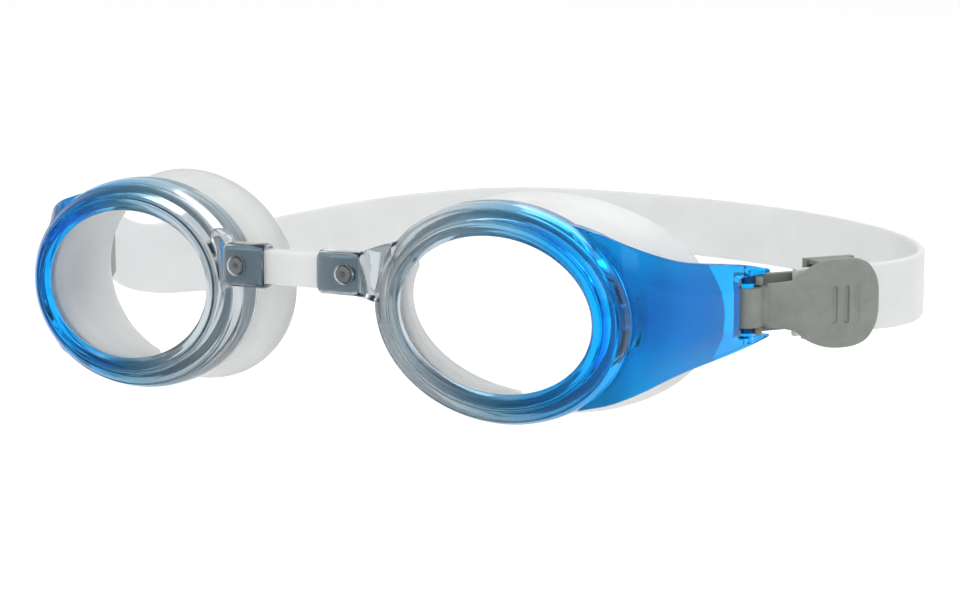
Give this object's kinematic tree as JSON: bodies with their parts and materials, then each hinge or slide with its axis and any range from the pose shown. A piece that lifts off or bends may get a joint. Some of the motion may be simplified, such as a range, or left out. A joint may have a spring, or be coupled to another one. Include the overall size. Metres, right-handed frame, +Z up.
{
  "type": "swim goggles",
  "caption": "Swim goggles with two clear-lensed eye cups, soft face seals, a flexible nose bridge, lever side clips and a soft head strap.",
  "frame": {"origin": "on the mid-plane, between the rims of the two face seals, where the goggles meet the wearer's face", "axes": "+Z up, +X towards the right-hand clip as seen from the front, +Y towards the wearer's face and the back of the head; the lenses face -Y"},
  "size_m": [0.1618, 0.1202, 0.0371],
  "materials": {
    "frame": "transparent tinted polycarbonate, blue at the temples fading to smoke grey at the nose, polished",
    "lens": "clear polished polycarbonate",
    "seal": "frosted translucent silicone, satin",
    "bridge": "frosted translucent silicone, satin",
    "pin": "smoke grey plastic, glossy",
    "clip": "soft-touch warm grey, matte",
    "strap": "frosted translucent silicone, satin"
  },
  "bodies": {
    "right_cup": {"right_frame": "frame", "right_lens": "lens", "right_seal": "seal", "right_bridge_pin": "pin", "nose_bridge": "bridge"},
    "left_cup": {"left_frame": "frame", "left_lens": "lens", "left_seal": "seal", "left_bridge_pin": "pin"},
    "right_clip": {"right_clip_base": "clip", "right_strap": "strap"},
    "left_strap_half": {"left_strap": "strap"},
    "left_clip": {"left_clip_base": "clip"},
    "right_lever": {"right_clip_lever": "clip"},
    "left_lever": {"left_clip_lever": "clip"}
  },
  "joints": [
    {"name": "bridge_flex", "type": "hinge", "parent": "right_cup", "child": "left_cup", "pos_m": [0, -0.0194, 0.0055], "axis": [0, 0, 1], "range_deg": [-12, 12], "stiffness_Nm_per_rad": 0.05, "deforming": ["nose_bridge"]},
    {"name": "right_clip_swing", "type": "hinge", "parent": "right_cup", "child": "right_clip", "pos_m": [0.063, 0.0166, -0.0015], "axis": [0, 0, 1], "range_deg": [-9, 9]},
    {"name": "strap_flex", "type": "hinge", "parent": "right_clip", "child": "left_strap_half", "pos_m": [0, 0.0976, -0.0013], "axis": [0, 0, 1], "range_deg": [-5.5, 5.5]},
    {"name": "left_clip_swing", "type": "hinge", "parent": "left_cup", "child": "left_clip", "pos_m": [-0.063, 0.0166, -0.0015], "axis": [0, 0, 1], "range_deg": [-9, 9]},
    {"name": "right_lever_lift", "type": "hinge", "parent": "right_clip", "child": "right_lever", "pos_m": [0.063, 0.0166, -0.0015], "axis": [0, 0, -1], "range_deg": [0, 30], "stiffness_Nm_per_rad": 0.02},
    {"name": "left_lever_lift", "type": "hinge", "parent": "left_clip", "child": "left_lever", "pos_m": [-0.063, 0.0166, -0.0015], "axis": [0, 0, 1], "range_deg": [0, 30], "stiffness_Nm_per_rad": 0.02}
  ],
  "couplings": [
    {"joint": "right_clip_swing", "follows": "bridge_flex", "ratio": 0.72222},
    {"joint": "strap_flex", "follows": "bridge_flex", "ratio": -0.44444},
    {"joint": "left_clip_swing", "follows": "bridge_flex", "ratio": -0.72222}
  ]
}
